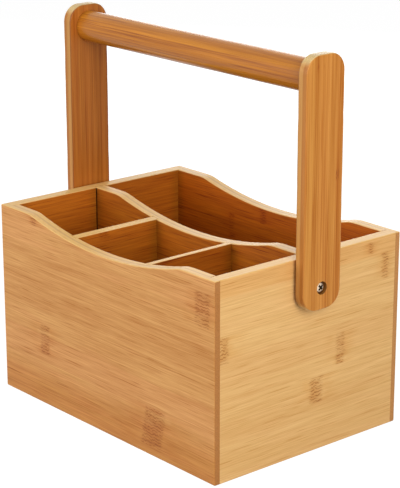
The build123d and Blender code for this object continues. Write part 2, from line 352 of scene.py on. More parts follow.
def make_board_tree():
    """Board along X, rounded on every edge, whose top dips in a shallow arc between two shoulders."""
    tree, w, source, target = new_group("GeometryNodeTree", "scalloped_board", {
        "Float": "Half Length, Bottom, Top, Front, Back, Scallop Length, Scallop Depth, Shoulder Radius, "
                 "Edge Radius, Edge Wear, Seed",
        "Material": "Material",
    }, {"Geometry": "Board"})
    last = BOARD_STATIONS - 1
    turns = 4 * (CORNER_STEPS + 1)
    grid = w.node("GeometryNodeMeshGrid", {"Vertices X": BOARD_STATIONS, "Vertices Y": turns + 1})
    place_x, place_y, _ = w.split(w.node("GeometryNodeInputPosition").outputs[0])
    station = w.math("ROUND", w.times(w.add(place_x, 0.5), last))
    turn = w.math("ROUND", w.times(w.add(place_y, 0.5), turns))
    radius = source["Edge Radius"]

    # along the board: a centre point, a rounded end, the body, a rounded end, a centre point
    from_left = w.times(w.math("DIVIDE", w.minus(station, 1), CORNER_STEPS, clamp=True), QUARTER)
    from_right = w.times(w.math("DIVIDE", w.minus(last - 1, station), CORNER_STEPS, clamp=True), QUARTER)
    share = w.math("DIVIDE", w.minus(station, 1 + CORNER_STEPS), last - 2 * (1 + CORNER_STEPS), clamp=True)
    reach = w.minus(source["Half Length"], radius)
    x = w.times(reach, w.minus(w.times(share, 2), 1))
    x = w.add(x, w.times(radius, w.minus(w.cosine(from_right), w.cosine(from_left))))
    fullness = w.minus(w.add(w.sine(from_left), w.sine(from_right)), 1)
    body = w.least(w.least(station, w.minus(last, station)), 1)

    # height of the rim
    away = w.size(x)
    shoulder = w.over(source["Scallop Length"], 2)
    depth = source["Scallop Depth"]
    bend = source["Shoulder Radius"]
    arc_sum = w.over(w.add(w.over(w.times(shoulder, shoulder), depth), depth), 2)
    dip_radius = w.minus(arc_sum, bend)
    tangent = w.over(w.times(shoulder, dip_radius), arc_sum)
    inside = w.least(away, tangent)
    dip = w.math("SQRT", w.minus(w.times(dip_radius, dip_radius), w.times(inside, inside)))
    dip = w.minus(w.add(w.minus(source["Top"], depth), dip_radius), dip)
    before = w.least(w.most(w.minus(shoulder, away), 0), bend)
    crest = w.math("SQRT", w.minus(w.times(bend, bend), w.times(before, before)))
    crest = w.add(w.minus(source["Top"], bend), crest)
    rim = w.add(crest, w.times(w.math("LESS_THAN", away, tangent), w.minus(dip, crest)))

    # round the board's section, corner by corner
    corner = w.math("MODULO", w.math("FLOOR", w.over(turn, CORNER_STEPS + 1)), 4)
    step = w.math("MODULO", turn, CORNER_STEPS + 1)
    angle = w.times(w.add(corner, w.over(step, CORNER_STEPS)), QUARTER)
    diagonal = w.times(w.add(corner, 0.5), QUARTER)
    side_y = w.math("SIGN", w.cosine(diagonal))
    side_z = w.math("SIGN", w.sine(diagonal))
    rub = w.noise(w.vector(w.times(x, RUB_RATE), corner, source["Seed"]), 3.0)
    rub = w.times(w.math("SUBTRACT", rub, RUB_START, clamp=True), w.size(w.sine(w.times(angle, 2))))
    bow = w.times(fullness, w.minus(radius, w.times(source["Edge Wear"], rub)))
    half_y = w.over(w.minus(source["Back"], source["Front"]), 2)
    middle_y = w.over(w.add(source["Back"], source["Front"]), 2)
    y = w.add(w.times(side_y, w.minus(half_y, radius)), w.times(bow, w.cosine(angle)))
    y = w.add(middle_y, w.times(body, y))
    upper = w.math("GREATER_THAN", side_z, 0)
    centre_z = w.add(source["Bottom"], radius)
    centre_z = w.add(centre_z, w.times(upper, w.minus(w.minus(rim, radius), centre_z)))
    z = w.add(centre_z, w.times(bow, w.sine(angle)))
    middle_z = w.over(w.add(source["Bottom"], rim), 2)
    z = w.add(middle_z, w.times(body, w.minus(z, middle_z)))

    board = w.node("GeometryNodeSetPosition", {"Geometry": grid.outputs[0], "Position": w.vector(x, y, z)})
    board = w.node("GeometryNodeMergeByDistance", {"Geometry": board.outputs[0], "Distance": MERGE})
    board = w.node("GeometryNodeFlipFaces", {"Mesh": board.outputs[0]})
    finish_tree(w, board, source["Material"], target["Board"])
    return tree


def set_inputs(piece, tree, values):
    """Adds the tree to the piece as a modifier and sets its inputs by their identifiers."""
    modifier = piece.modifiers.new(tree.name, "NODES")
    modifier.node_group = tree
    sockets = [item for item in tree.interface.items_tree if item.item_type == "SOCKET"]
    identifiers = {item.name: item.identifier for item in sockets if item.in_out == "INPUT"}
    for label, value in values.items():
        modifier[identifiers[label]] = value


BOARD_TREE = make_board_tree()


def scalloped_board(low, high, scallop, material, seed):
    """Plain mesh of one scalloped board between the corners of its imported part."""
    piece = link("board", bpy.data.meshes.new("board"))
    set_inputs(piece, BOARD_TREE, {
        "Half Length": high.x, "Bottom": low.z, "Top": high.z, "Front": low.y, "Back": high.y,
        "Scallop Length": scallop[0], "Scallop Depth": scallop[1], "Shoulder Radius": SHOULDER_RADIUS,
        "Edge Radius": EDGE_RADIUS, "Edge Wear": EDGE_WEAR, "Seed": seed, "Material": material,
    })
    return settle(piece)


def cross_housings(low_y, high_y):
    """Cutters for the cross dividers' housings between two depths."""
    slack = CROSS_HOUSING_SLACK
    top = panel_high.z + OVERCUT
    return [
        box_cutter((low.x - slack, low_y, bottom_high.z), (high.x + slack, high_y, top))
        for low, high in cross_boxes
    ]


def make_long_panel(node, low, high, scallop, inner, material, seed):
    """Front (inner 1) or back (inner -1) panel with its rabbets and groove, and the front's housings."""
    board = scalloped_board(low, high, scallop, material, seed)
    outer_y, inner_y = (low.y, high.y) if inner > 0 else (high.y, low.y)
    past_y = inner_y + inner * OVERCUT
    lip_y = outer_y + inner * CORNER_LIP
    groove_y = inner_y - inner * GROOVE_DEPTH
    groove_top = bottom_high.z + GROOVE_SLACK
    cutters = []
    for side in (-1, 1):
        past_x = side * (high.x + OVERCUT)
        cutters.append(box_cutter((side * END_INNER_X, lip_y, -OVERCUT), (past_x, past_y, high.z + OVERCUT)))
    cutters.append(box_cutter((low.x, groove_y, bottom_low.z), (high.x, past_y, groove_top)))
    if inner > 0:
        cutters += cross_housings(inner_y - inner * CROSS_HOUSING_DEPTH, past_y)
    carve(board, cutters)
    place(smooth(board), node + "_board", "box", material, [node])


def make_long_divider(material, seed):
    """Middle board with the cross dividers' housings and the screws' pilot holes."""
    board = scalloped_board(divider_low, divider_high, SCALLOP, material, seed)
    cutters = cross_housings(divider_low.y - OVERCUT, divider_low.y + CROSS_HOUSING_DEPTH)
    for side in (-1, 1):
        ends = side * (screw_low.x - PILOT_END), side * (divider_high.x + OVERCUT)
        cutters.append(rod_cutter(PILOT_RADIUS, *ends, PIVOT_HEIGHT, 24))
    carve(board, cutters)
    place(smooth(board), "long_divider_board", "box", material, ["long_divider"])


# ---- handle
def rounded_outline(half_y, half_z, radius, steps=10):
    """Points round a rectangle with rounded corners, about its centre."""
    points = []
    for corner, (side_y, side_z) in enumerate(((1, 1), (-1, 1), (-1, -1), (1, -1))):
        centre_y = side_y * (half_y - radius)
        centre_z = side_z * (half_z - radius)
        for step in range(steps + 1):
            angle = (corner + step / steps) * QUARTER
            points.append((centre_y + radius * math.cos(angle), centre_z + radius * math.sin(angle)))
    return points


def denser(points, longest):
    """The same closed outline with its long runs divided evenly."""
    dense = []
    for (y, z), (next_y, next_z) in zip(points, points[1:] + points[:1]):
        pieces = max(1, math.ceil(math.hypot(next_y - y, next_z - z) / longest))
        for part in range(pieces):
            dense.append((y + (next_y - y) * part / pieces, z + (next_z - z) * part / pieces))
    return dense


def rub_amount(x, y, z):
    """How worn an edge is at a place, 0 to 1, in slow uneven waves."""
    wave = math.sin(91 * z + 3 * y) + math.sin(233 * z - 170 * y + 40 * x)
    wave += 0.6 * math.sin(517 * z + 390 * y)
    return max(0.0, wave / HIGHEST_RUB_WAVE)


def make_arm(side, material):
    """Flat arm with rounded ends and rubbed edges, bored for its screw and its spigot."""
    middle_y = (arm_low.y + arm_high.y) / 2
    middle_z = (arm_low.z + arm_high.z) / 2
    half_y = (arm_high.y - arm_low.y) / 2
    half_z = (arm_high.z - arm_low.z) / 2
    levels = []
    for step in range(ARM_EDGE_STEPS + 1):
        angle = step / ARM_EDGE_STEPS * QUARTER
        depth = ARM_EDGE_RADIUS * (1 - math.cos(angle))
        inset = ARM_EDGE_RADIUS * (1 - math.sin(angle))
        levels.append((depth, inset, math.sin(2 * angle)))
    rings = [(arm_low.x + depth, inset, rub) for depth, inset, rub in levels]
    rings += [(arm_high.x - depth, inset, rub) for depth, inset, rub in reversed(levels)]
    spread = denser(rounded_outline(half_y, half_z, ARM_CORNER_RADIUS), ARM_OUTLINE_STEP)
    shape = bmesh.new()
    loops = []
    for x, inset, rub in rings:
        loop = []
        for y, z in spread:
            worn = inset + ARM_EDGE_WEAR * rub * rub_amount(x, y, z + side)
            core_y = math.copysign(min(abs(y), half_y - ARM_CORNER_RADIUS), y)
            core_z = math.copysign(min(abs(z), half_z - ARM_CORNER_RADIUS), z)
            out = Vector((0, y - core_y, z - core_z)).normalized()
            loop.append(shape.verts.new((side * x, middle_y + y - out.y * worn, middle_z + z - out.z * worn)))
        loops.append(loop)
    arm = skinned("arm", shape, loops)
    inner_x, outer_x = arm_low.x - OVERCUT, arm_high.x + OVERCUT
    carve(arm, [rod_cutter(radius, side * x_from, side * x_to, height) for radius, x_from, x_to, height in (
        (BORE_RADIUS, inner_x, outer_x, PIVOT_HEIGHT),
        (COUNTERBORE_RADIUS, arm_high.x - COUNTERBORE_FLOOR, outer_x, PIVOT_HEIGHT),
        (SOCKET_RADIUS, inner_x, arm_low.x + SOCKET_DEPTH, GRIP_HEIGHT),
    )])
    name = "right" if side > 0 else "left"
    place(smooth(arm), name + "_arm", "handle", material, [name + "_handle_arm"])


def make_grip(material):
    """Round grip, turned by hand, with a spigot at each end."""
    reach = arm_low.x
    tip = reach + SPIGOT_LENGTH
    ease = GRIP_END_EASE
    half = [(reach, SPIGOT_RADIUS), (tip - ease, SPIGOT_RADIUS), (tip, SPIGOT_RADIUS - ease)]
    profile = [(-x, radius) for x, radius in reversed(half)]
    profile.append((-reach, GRIP_RADIUS - ease))
    for station in range(GRIP_STATIONS + 1):
        x = (reach - ease) * (2 * station / GRIP_STATIONS - 1)
        hollow = GRIP_UNEVENNESS * (1 + math.sin(61 * x) * math.sin(23 * x + 1))
        profile.append((x, GRIP_RADIUS - hollow))
    profile.append((reach, GRIP_RADIUS - ease))
    profile += half
    grip = turned("grip", profile, GRIP_HEIGHT, 72)
    place(smooth(grip), "round_grip", "handle", material, ["handle_grip"])


# ---- screws and washers
def thread_radius(from_seat):
    """Radius of the threaded shank round its line, at a distance from the head's seat."""
    taper = min(1, (SHANK_LENGTH - from_seat) / POINT_LENGTH)
    root = THREAD_ROOT * max(TIP_ROOT, taper)
    crest = SHANK_RADIUS * max(TIP_CREST, taper)

    def radius(angle):
        turn = (from_seat / THREAD_PITCH + angle / (2 * math.pi)) % 1
        return root + (crest - root) * max(0, 1 - abs(2 * turn - 1) * THREAD_SHARPNESS)

    return radius


def make_screw():
    """Right pivot screw: domed head with a tapered cross recess, over a threaded shank."""
    head_top = screw_high.x
    seat = head_top - HEAD_HEIGHT
    dome = HEAD_HEIGHT - HEAD_EDGE
    profile = [(head_top, 0)]
    for step in range(1, DOME_STEPS + 1):
        angle = step / DOME_STEPS * QUARTER
        profile.append((seat + HEAD_EDGE + dome * math.cos(angle), HEAD_RADIUS * math.sin(angle)))
    profile += [(seat, HEAD_RADIUS), (seat, SHANK_RADIUS)]
    for station in range(1, THREAD_STATIONS + 1):
        from_seat = SHANK_LENGTH * station / THREAD_STATIONS
        profile.append((seat - from_seat, thread_radius(from_seat)))
    screw = turned("screw", profile, PIVOT_HEIGHT, 32)
    cutters = []
    for turn in (45, -45):
        wing = box_cutter(
            (-RECESS_DEPTH, -RECESS_SPAN / 2, -RECESS_WIDTH / 2), (OVERCUT, RECESS_SPAN / 2, RECESS_WIDTH / 2)
        )
        for vertex in wing.data.vertices:
            if vertex.co.x < 0:
                vertex.co.y *= RECESS_TAPER
        spin = Matrix.Translation((head_top, 0, PIVOT_HEIGHT)) @ Matrix.Rotation(math.radians(turn), 4, "X")
        wing.data.transform(spin)
        cutters.append(wing)
    return smooth(carve(screw, cutters))


def make_washer():
    """Right spacer washer with eased edges."""
    low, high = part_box("right_spacer_washer")
    outer = (high.z - low.z) / 2
    ease = WASHER_EASE
    profile = [
        (low.x, outer - ease), (low.x + ease, outer), (high.x - ease, outer), (high.x, outer - ease)
    ]
    washer = turned("washer", profile, PIVOT_HEIGHT)
    bore = rod_cutter(WASHER_BORE_RADIUS, low.x - OVERCUT, high.x + OVERCUT, PIVOT_HEIGHT)
    return smooth(carve(washer, [bore]))


def make_pair_tree():
    """Sets the right end's fastener at both ends, the left one turned half round the box's middle."""
    tree, w, source, target = new_group("GeometryNodeTree", "fastener_at_both_ends", {
        "Object": "Fastener", "Int": "Count", "Material": "Material",
    }, {"Geometry": "Pair"})
    middle = w.node("GeometryNodeMeshLine", {"Count": source["Count"], "Offset": (0, 0, 0)})
    fastener = w.node("GeometryNodeObjectInfo", {"Object": source["Fastener"]}, transform_space="ORIGINAL")
    turn = w.over(w.times(w.node("GeometryNodeInputIndex").outputs[0], 2 * math.pi), source["Count"])
    pair = w.node("GeometryNodeInstanceOnPoints", {
        "Points": middle.outputs[0], "Instance": fastener.outputs["Geometry"],
        "Rotation": w.vector(0.0, 0.0, turn),
    })
    finish_tree(w, pair, source["Material"], target["Pair"])
    return tree


PAIR_TREE = make_pair_tree()


def place_pair(fastener, name, node, material):
    """Puts the fastener at both ends of the box as one piece."""
    pair = link(name, bpy.data.meshes.new(name))
    set_inputs(pair, PAIR_TREE, {"Fastener": fastener, "Count": 2, "Material": material})
    settle(pair)
    bpy.data.objects.remove(fastener)
    place(pair, name, "box", material, ["left_" + node, "right_" + node])


# ---- shared finishes
# Rates of noise are changes in a metre, along the grain and across it.
STRIP_SWAY = 1.5 * MM  # how far the strips' joints wander
ROSY_TINT = (1.015, 0.98, 0.99)
OLIVE_TINT = (0.99, 1.005, 0.95)
LEAST_DARK, MOST_DARK = -0.25, 1.3  # how far a spot may pass the pale and the deep tone

MARK_EDGE = 1.2 * MM  # soft edge of a node mark
MARK_BOW = 5 * MM  # slow and quick bends of its ends
MARK_RAGGEDNESS = 6 * MM
DASH_SPACING = 2.3 * MM
DASH_WARP = 5 * MM
MARK_GROUND = 0.26  # its strength between the dashes
FAINT_PATCH = 0.45  # and in its faintest patches
HAZE_REACH = 4.5  # in half lengths of the mark


def make_grain_group():
    """Bamboo in the solid: glued strips that differ in tone, long streaks and thin dark fibres.

    Vector is in metres: X along the grain, Y across the strips, Z into the board. Pace is how fast the
    streaks change along the grain, and Fineness how thin they are.
    """
    tree, w, source, target = new_group("ShaderNodeTree", "bamboo_grain", {
        "Vector": "Vector", "Color": "Pale, Deep",
        "Float": "Seed, Strip Width, Strip Contrast, Cloud, Streak, Fibre, Hue Spread, Pace, Fineness",
    }, {"Color": "Color", "Float": "Roughness, Height"})
    along, across, depth = w.split(source["Vector"])
    sway = w.noise(w.vector(w.times(along, 9), source["Seed"], 0.0), 1.0)
    across = w.add(across, w.times(w.minus(sway, 0.5), STRIP_SWAY))
    strip = w.math("FLOOR", w.over(across, source["Strip Width"]))
    tone = w.random(w.vector(strip, source["Seed"], 0.5))
    hue = w.random(w.vector(strip, source["Seed"], 7.5))
    along = w.add(w.times(along, source["Pace"]), w.times(tone, 7), w.times(source["Seed"], 0.37))
    across = w.times(across, source["Fineness"])
    depth = w.times(depth, source["Fineness"])

    def stretched(lengthwise, crosswise):
        return w.vector(w.times(along, lengthwise), w.times(across, crosswise), w.times(depth, crosswise))

    cloud = w.noise(stretched(9, 55))
    broad = w.noise(stretched(11, 190))
    streak = w.noise(stretched(21, 780), 3.0, 0.62)
    line = w.span(w.noise(stretched(30, 1050), 1.0), 0.6, 0.74)
    fibre = w.noise(stretched(80, 2500), 2.0, 0.6)
    dark = w.add(
        0.4,
        w.times(w.minus(tone, 0.5), source["Strip Contrast"]),
        w.times(w.minus(cloud, 0.5), source["Cloud"]),
        w.times(w.minus(broad, 0.5), source["Streak"], 0.8),
        w.times(w.minus(streak, 0.5), source["Streak"], 1.7),
        w.times(line, source["Fibre"]),
        w.times(w.minus(fibre, 0.5), source["Fibre"], 0.9),
    )
    dark = w.least(w.most(dark, LEAST_DARK), MOST_DARK)
    toned = w.node("ShaderNodeMix", {"Factor": dark}, data_type="RGBA", clamp_factor=False)
    w.feed(toned.inputs[6], source["Pale"])
    w.feed(toned.inputs[7], source["Deep"])
    colour = toned.outputs[2]
    hue = w.add(w.times(hue, 0.5), w.noise(stretched(14, 90), 1.0), -0.25)
    hued = w.mix(w.span(hue, 0.3, 0.7), w.tint(1.0, colour, OLIVE_TINT), w.tint(1.0, colour, ROSY_TINT))
    w.feed(target["Color"], w.mix(source["Hue Spread"], colour, hued))
    w.feed(target["Roughness"], w.times(fibre, 0.14))
    w.feed(target["Height"], w.minus(w.times(streak, 0.6), w.add(w.times(line, 0.5), w.times(fibre, 0.3))))
    return tree


def make_node_mark_group():
    """Where the stalk had a node: a cluster of short wavy dashes with ragged ends, in a rosy haze."""
    tree, w, source, target = new_group("ShaderNodeTree", "bamboo_node_mark", {
        "Vector": "Vector", "Float": "Along, Across, Half Length, Half Height, Lean",
    }, {"Float": "Mark, Haze"})
    along, across, _ = w.split(source["Vector"])
    half_length, half_height = source["Half Length"], source["Half Height"]

    def bends(crosswise, detail):
        place_on_end = w.vector(source["Along"], w.times(across, crosswise), source["Across"])
        return w.minus(w.noise(place_on_end, detail), 0.5)

    def spots(lengthwise, crosswise, seed, detail):
        return w.noise(w.vector(w.times(along, lengthwise), w.times(across, crosswise), seed), detail)

    v = w.minus(across, source["Across"])
    u = w.minus(w.minus(along, source["Along"]), w.times(v, source["Lean"]))
    u = w.add(u, w.times(bends(230, 2.0), MARK_BOW), w.times(bends(850, 1.0), MARK_RAGGEDNESS))
    inside = w.span(w.size(v), half_height, w.minus(half_height, MARK_EDGE))
    near = w.span(w.size(u), w.add(half_length, MARK_EDGE), w.minus(half_length, 2 * MARK_EDGE))
    warp = w.times(spots(260, 95, source["Along"], 2.0), DASH_WARP)
    ripple = w.over(w.add(across, warp), DASH_SPACING / (2 * math.pi))
    dash = w.span(w.sine(ripple), 0.1, 0.8)
    dash = w.times(dash, w.span(spots(240, 500, source["Across"], 1.0), 0.35, 0.5))
    dash = w.add(MARK_GROUND, w.times(dash, 1 - MARK_GROUND))
    patch = w.span(spots(60, 160, source["Across"], 1.0), 0.3, 0.6)
    fade = w.add(FAINT_PATCH, w.times(patch, 1 - FAINT_PATCH))
    w.feed(target["Mark"], w.times(near, inside, dash, fade))
    haze = w.span(w.size(u), w.times(half_length, HAZE_REACH), 0.0)
    w.feed(target["Haze"], w.times(haze, inside, patch))
    return tree


GRAIN = make_grain_group()
NODE_MARK = make_node_mark_group()


# ---- materials
# pale and deep tones of the bamboo, as linear colours
FRONT_TONES = ((0.68, 0.345, 0.118), (0.455, 0.173, 0.036))
END_TONES = ((0.8, 0.49, 0.195), (0.63, 0.33, 0.1))
# tones inside the cells, darker as painted shade
INSIDE_SHADE_TONES = ((0.53, 0.155, 0.009), (0.27, 0.055, 0.002))
BACK_INSIDE_SHADE_TONES = ((0.53, 0.13, 0.004), (0.26, 0.045, 0.001))
END_INSIDE_SHADE_TONES = ((0.57, 0.162, 0.009), (0.33, 0.065, 0.003))
FLOOR_INSIDE_SHADE_TONES = ((0.62, 0.26, 0.05), (0.42, 0.14, 0.02))
ARM_TONES = ((0.615, 0.258, 0.047), (0.415, 0.13, 0.009))
# darker inner faces of the arms: painted shade
ARM_INSIDE_SHADE_TONES = ((0.5, 0.165, 0.022), (0.33, 0.085, 0.005))
GRIP_TONES = ((0.54, 0.198, 0.016), (0.28, 0.075, 0.004))
INNER_PLY_TONES = ((0.56, 0.265, 0.07), (0.44, 0.188, 0.044))
OUTER_PLY_TONES = ((0.46, 0.175, 0.033), (0.35, 0.12, 0.018))
RIM_PALE = (0.79, 0.49, 0.165)
RIM_CORE = (0.66, 0.395, 0.15)
END_GRAIN = (0.42, 0.165, 0.04)
BACK_END_GRAIN = (0.52, 0.235, 0.07)
# end grain of the handle, made paler as a painted highlight from above
HANDLE_END_GRAIN_HIGHLIGHT = (0.74, 0.55, 0.25)
# raw wood round the pivot, darkened further as painted shade in the counterbore
BORE_WOOD_AND_SHADE = (0.2, 0.075, 0.01)
STEEL_TONES = ((0.56, 0.42, 0.29), (0.8, 0.65, 0.5))
# painted shade in the screw head's recess
STEEL_RECESS_SHADE = (0.05, 0.03, 0.014)
NYLON_TONES = ((0.6, 0.56, 0.47), (0.7, 0.67, 0.6))

# tints that multiply a colour
MARK_TINT = (0.53, 0.34, 0.16)
HAZE_TINT = (0.92, 0.82, 0.68)
# painted shade, darker towards the bottom of the front panel
LOW_FRONT_SHADE_TINT = (0.84, 0.71, 0.5)
TOP_STRIP_TINT = (0.95, 0.87, 0.76)
# painted shadow along the arms' inner edges
CREASE_SHADOW_TINT = (0.5, 0.36, 0.22)
# painted shade beside the cells' corners
CORNER_SHADE_TINT = (0.76, 0.88, 0.8)
# painted shadow in the open joint of the long divider
SEAM_SHADOW_TINT = (0.1, 0.09, 0.08)
RIM_LINE_TINT = (0.92, 0.84, 0.74)
PORE_SHADE = 0.82

MARK_STRENGTH = 0.9
END_GRAIN_STRENGTH = 0.85
CORNER_SHADE = 0.8
CORNER_REACH = 11 * MM  # of the painted shade beside a cell's corner
SEAM_SHADOW_WIDTHS = (1.3 * MM, 0.7 * MM)  # half the painted shadow line in the open joint, with and without its soft edges
CORE_WIDTHS = (1.3 * MM, 0.5 * MM)  # half the middle layer, likewise
CREASE_SHADOW_DEPTHS = (1.1 * MM, 0.6 * MM)  # where the painted shadow on an arm's inner edge begins and is full
BORE_FRINGE = 0.12 * MM
RECESS_SHADE_DEPTHS = (0.3 * MM, 0.6 * MM)
RECESS_SHADE_RADII = (2.9 * MM, 2.6 * MM)
BOUNDARY = 0.5 * MM  # over which one side's tone gives way to the other's
PORE_RATE = 1500  # in a metre, like those that follow
RIM_LINE_RATES = (40, 900, 900)
SCRATCH_RATE = 900
NYLON_RATE = 300
BUMP_STRENGTH = 0.2
BUMP_DEPTH = 0.3 * MM
BEYOND = 1  # open end of a dark strip, past any board


def start_material(name):
    """Material, the wiring of its tree and its shader."""
    material = bpy.data.materials.new(name)
    material.use_nodes = True
    tree = material.node_tree
    return material, Wiring(tree), tree.nodes["Principled BSDF"]


def from_line(w, y, z, height):
    """Distance from a line along X at a height."""
    away = w.vector(0.0, y, w.minus(z, height))
    return w.node("ShaderNodeVectorMath", {"Vector": away}, operation="LENGTH").outputs["Value"]


def mark(along, across, half_length=3.5, half_height=10.5, lean=0.0):
    """Node mark at millimetres along and across the grain. The usual one is as tall as its strip."""
    return along * MM, across * MM, half_length * MM, half_height * MM, lean


def ply_tones(w, pale, deep, across_normal, x_normal, from_middle, joint):
    """Tones of an arm: two plies show on its narrow sides, and its inner edges carry a painted shadow."""
    narrow = w.span(w.size(across_normal), 0.5, 0.8)
    outer = w.span(from_middle, joint - BOUNDARY, joint + BOUNDARY)
    pale = w.mix(narrow, pale, w.mix(outer, INNER_PLY_TONES[0], OUTER_PLY_TONES[0]))
    deep = w.mix(narrow, deep, w.mix(outer, INNER_PLY_TONES[1], OUTER_PLY_TONES[1]))
    turned_away = w.span(w.size(x_normal), 0.95, 0.8)
    inner_edge = w.span(from_middle, *(arm_low.x + depth for depth in CREASE_SHADOW_DEPTHS))
    # painted shadow along the arm's inner edge
    crease_shadow = w.times(turned_away, inner_edge)
    return w.tint(crease_shadow, pale, CREASE_SHADOW_TINT), w.tint(crease_shadow, deep, CREASE_SHADOW_TINT)


def shaded_corners(w, colour, along, corners, shaded_inside):
    """Colour with painted shade beside each corner inside a cell."""
    gap = 1.0
    for corner in corners:
        gap = w.least(gap, w.size(w.minus(along, corner)))
    corner_shade = w.times(shaded_inside, w.span(gap, CORNER_REACH, 0.0), CORNER_SHADE)
    return w.tint(corner_shade, colour, CORNER_SHADE_TINT)


def marked(w, colour, vector, offset, marks):
    """Colour with the stalk's node marks and their haze."""
    for along, across, half_length, half_height, lean in marks:
        spot = w.node("ShaderNodeGroup", {
            "Vector": vector, "Along": along, "Across": across + offset,
            "Half Length": half_length, "Half Height": half_height, "Lean": lean,
        }, node_tree=NODE_MARK).outputs
        colour = w.tint(w.times(spot["Haze"], MARK_STRENGTH), colour, HAZE_TINT)
        colour = w.tint(w.times(spot["Mark"], MARK_STRENGTH), colour, MARK_TINT)
    return colour


def with_end_grain(w, colour, spot, along_normal, end_grain):
    """Colour with pored end grain where the board is cut across."""
    pores = w.noise(w.scaled(spot, (PORE_RATE,) * 3), 1.0)
    cut = w.mix(w.span(pores, 0.4, 0.65), end_grain, [PORE_SHADE * value for value in end_grain])
    facing = w.span(w.size(along_normal), 0.4, 0.8)
    return w.mix(w.times(facing, END_GRAIN_STRENGTH), colour, cut)


def bamboo_material(
    name, axes, tones, seed, strip=21.5 * MM, offset=0.0, contrast=0.3, cloud=0.7, streak=0.9, fibre=0.65,
    hue=0.85, pace=1.0, fineness=1.0, marks=(), dark_or_shaded_strip=None, end_grain=None, rim=False, core=None,
    inside=None, inside_shade_tones=INSIDE_SHADE_TONES, corners=(), seam=None, plies=None, bore=None, specular=0.25,
    roughness=0.4,
):
    """Lacquered bamboo.

    axes names the piece's axes along the grain, across the strips and into the board.
    strip to fineness go to the grain, but offset shifts its strips. marks lists the nodes of the stalk.
    dark_or_shaded_strip is (low, high, edge, tint): between two places across the strips the board is darker:
    on the right end panel the stalk was darker there, low on the front panel it is painted shade.
    core is (axis, middle) of the pressed middle layer that shows on a cut rim.
    inside is (axis, face, side): past that face towards that side the board takes darker tones as painted
    shade, as inside a cell;
    side 0 makes the whole board so. corners lists where it meets other boards there, along the grain, for
    painted shade beside each corner.
    seam is the place along the grain of an open joint, drawn as a painted shadow line.
    plies is the distance from the box's middle to the joint of the two plies that show on a narrow side; with
    it the arm's inner edges also get a painted shadow.
    bore is (height, radius) of a raw hole round the pivot line, dark as raw wood and as painted shade in the
    counterbore.
    """
    material, w, shader = start_material(name)
    texture = w.node("ShaderNodeTexCoord").outputs
    spot = dict(zip("XYZ", w.split(texture["Object"])))
    normal = dict(zip("XYZ", w.split(texture["Normal"])))
    along, across, depth = (spot[axis] for axis in axes)
    vector = w.vector(along, w.add(across, offset), depth)
    pale, deep = tones
    shaded_inside = 1.0
    # past the inside face the tones turn darker: painted shade
    if inside:
        axis, face, side = inside
        if side:
            shaded_inside = w.span(w.times(w.minus(spot[axis], face), side), 0.0, BOUNDARY)
        pale = w.mix(shaded_inside, pale, inside_shade_tones[0])
        deep = w.mix(shaded_inside, deep, inside_shade_tones[1])
    if plies:
        pale, deep = ply_tones(w, pale, deep, normal[axes[1]], normal["X"], w.size(spot["X"]), plies)
    grain = w.node("ShaderNodeGroup", {
        "Vector": vector, "Seed": seed, "Strip Width": strip, "Pale": pale, "Deep": deep,
        "Strip Contrast": contrast, "Cloud": cloud, "Streak": streak, "Fibre": fibre, "Hue Spread": hue,
        "Pace": pace, "Fineness": fineness,
    }, node_tree=GRAIN).outputs
    colour = grain["Color"]
    if dark_or_shaded_strip:
        low, high, edge, tint = dark_or_shaded_strip
        band = w.times(w.span(across, low - edge, low + edge), w.span(across, high + edge, high - edge))
        colour = w.tint(band, colour, tint)
    # painted shade beside the cells' corners
    if corners:
        colour = shaded_corners(w, colour, along, corners, shaded_inside)
    # painted shadow line in the open joint
    if seam:
        seam_shadow = w.times(shaded_inside, w.span(w.size(w.minus(along, seam)), *SEAM_SHADOW_WIDTHS))
        colour = w.tint(seam_shadow, colour, SEAM_SHADOW_TINT)
    colour = marked(w, colour, vector, offset, marks)
    if end_grain:
        colour = with_end_grain(w, colour, texture["Object"], normal[axes[0]], end_grain)
    if rim:
        top_tone = RIM_PALE
        if core:
            axis, middle = core
            top_tone = w.mix(w.span(w.size(w.minus(spot[axis], middle)), *CORE_WIDTHS), RIM_PALE, RIM_CORE)
        lines = w.span(w.noise(w.scaled(vector, RIM_LINE_RATES)), 0.45, 0.75)
        colour = w.mix(w.span(normal["Z"], 0.35, 0.8), colour, w.tint(lines, top_tone, RIM_LINE_TINT))
    # raw wood and painted shade round the pivot
    if bore:
        height, radius = bore
        away = from_line(w, spot["Y"], spot["Z"], height)
        colour = w.mix(w.span(away, radius + BORE_FRINGE, radius), colour, BORE_WOOD_AND_SHADE)
    w.feed(shader.inputs["Base Color"], colour)
    w.feed(shader.inputs["Roughness"], w.add(roughness, grain["Roughness"]))
    bump = {"Strength": BUMP_STRENGTH, "Distance": BUMP_DEPTH, "Height": grain["Height"]}
    w.feed(shader.inputs["Normal"], w.node("ShaderNodeBump", bump).outputs["Normal"])
    shader.inputs["Specular IOR Level"].default_value = specular
    return material


def steel_material(name):
    """Zinc-plated steel, with painted shade in the recess of the screw's head."""
    material, w, shader = start_material(name)
    spot = w.node("ShaderNodeTexCoord").outputs["Object"]
    scratch = w.noise(w.scaled(spot, (SCRATCH_RATE,) * 3), 3.0)
    x, y, z = w.split(spot)
    # painted shade in the head's recess
    sunk = w.span(w.size(x), *(screw_high.x - depth for depth in RECESS_SHADE_DEPTHS))
    recess = w.times(sunk, w.span(from_line(w, y, z, PIVOT_HEIGHT), *RECESS_SHADE_RADII))
    w.feed(shader.inputs["Base Color"], w.mix(recess, w.mix(scratch, *STEEL_TONES), STEEL_RECESS_SHADE))
    w.feed(shader.inputs["Roughness"], w.add(0.25, w.times(scratch, 0.2), w.times(recess, 0.3)))
    shader.inputs["Metallic"].default_value = 1.0
    return material


